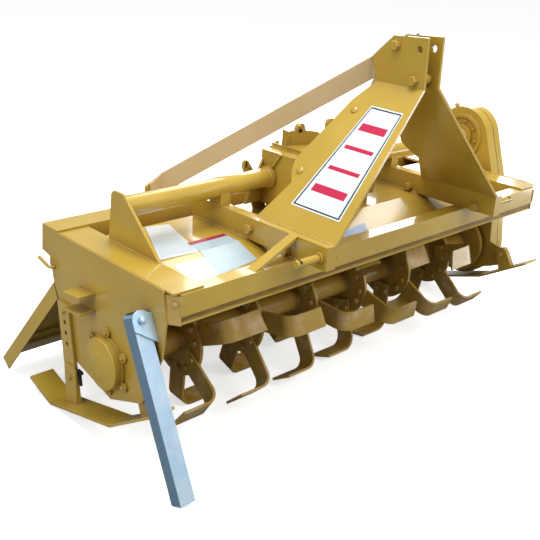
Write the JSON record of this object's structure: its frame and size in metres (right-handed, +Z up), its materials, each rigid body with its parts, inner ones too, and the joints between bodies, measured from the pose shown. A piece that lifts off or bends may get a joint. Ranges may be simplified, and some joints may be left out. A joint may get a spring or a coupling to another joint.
{
  "type": "rotary tiller",
  "caption": "Gear-driven rotary tiller for a tractor's three-point hitch, with bolted L-tines, side skids, a hinged rear flap and a swing-up parking leg.",
  "frame": {"origin": "on the floor, below the middle of the machine's bounding box", "axes": "+Z up, -Y towards the tractor, +X to the machine's left, where the gear case is"},
  "size_m": [1.768, 0.9231, 1.09],
  "materials": {
    "yellow_paint": "semi-gloss",
    "zinc_plate": "satin",
    "bare_steel": "satin"
  },
  "bodies": {
    "frame": {"bar_gussets": "yellow_paint", "brace_brackets": "yellow_paint", "brace_left": "yellow_paint", "brace_right": "yellow_paint", "corner_plates": "yellow_paint", "drive_tube": "yellow_paint", "end_plate_left": "yellow_paint", "end_plate_right": "yellow_paint", "end_straps": "yellow_paint", "front_rail": "yellow_paint", "gear_case": "yellow_paint", "gear_case_cover": "yellow_paint", "gearbox": "yellow_paint", "gearbox_cover": "yellow_paint", "hinge_rod": "yellow_paint", "hitch_bar_left": "yellow_paint", "hitch_bar_right": "yellow_paint", "hitch_pin_left": "yellow_paint", "hitch_pin_right": "yellow_paint", "hood_deck": "yellow_paint", "hub_cover": "yellow_paint", "hub_flange": "yellow_paint", "mast_plate_left": "yellow_paint", "mast_plate_right": "yellow_paint", "mast_spacer": "yellow_paint", "rear_rail": "yellow_paint", "skid_brackets": "yellow_paint", "skid_lugs": "yellow_paint", "skid_posts": "yellow_paint", "skid_runner_left": "yellow_paint", "skid_runner_right": "yellow_paint", "stand_bracket": "zinc_plate", "stand_pin": "zinc_plate", "torque_tube": "yellow_paint", "tube_gusset": "yellow_paint", "tube_saddles": "yellow_paint"},
    "rotor": {"rotor_shaft": "yellow_paint", "tines_1": "yellow_paint", "tines_2": "yellow_paint", "tines_3": "yellow_paint", "tines_4": "yellow_paint", "tines_5": "yellow_paint", "tines_6": "yellow_paint"},
    "pto": {"pto_shaft": "bare_steel"},
    "flap": {"rear_flap": "yellow_paint"},
    "leg": {"parking_leg": "zinc_plate"}
  },
  "joints": [
    {"name": "rotor_spin", "type": "hinge", "parent": "frame", "child": "rotor", "pos_m": [-0.0175, -0.068, 0.235], "axis": [1, 0, 0], "continuous": true},
    {"name": "pto_spin", "type": "hinge", "parent": "frame", "child": "pto", "pos_m": [-0.0175, -0.173, 0.638], "axis": [0, -1, 0], "continuous": true},
    {"name": "rear_flap", "type": "hinge", "parent": "frame", "child": "flap", "pos_m": [-0.0175, 0.199, 0.423], "axis": [1, 0, 0], "range_deg": [0, 70]},
    {"name": "parking_leg", "type": "hinge", "parent": "frame", "child": "leg", "pos_m": [-0.8595, -0.2474, 0.4341], "axis": [0, 0.9085, -0.4179], "range_deg": [0, 180]}
  ],
  "couplings": [
    {"joint": "pto_spin", "follows": "rotor_spin", "ratio": 2.5}
  ]
}
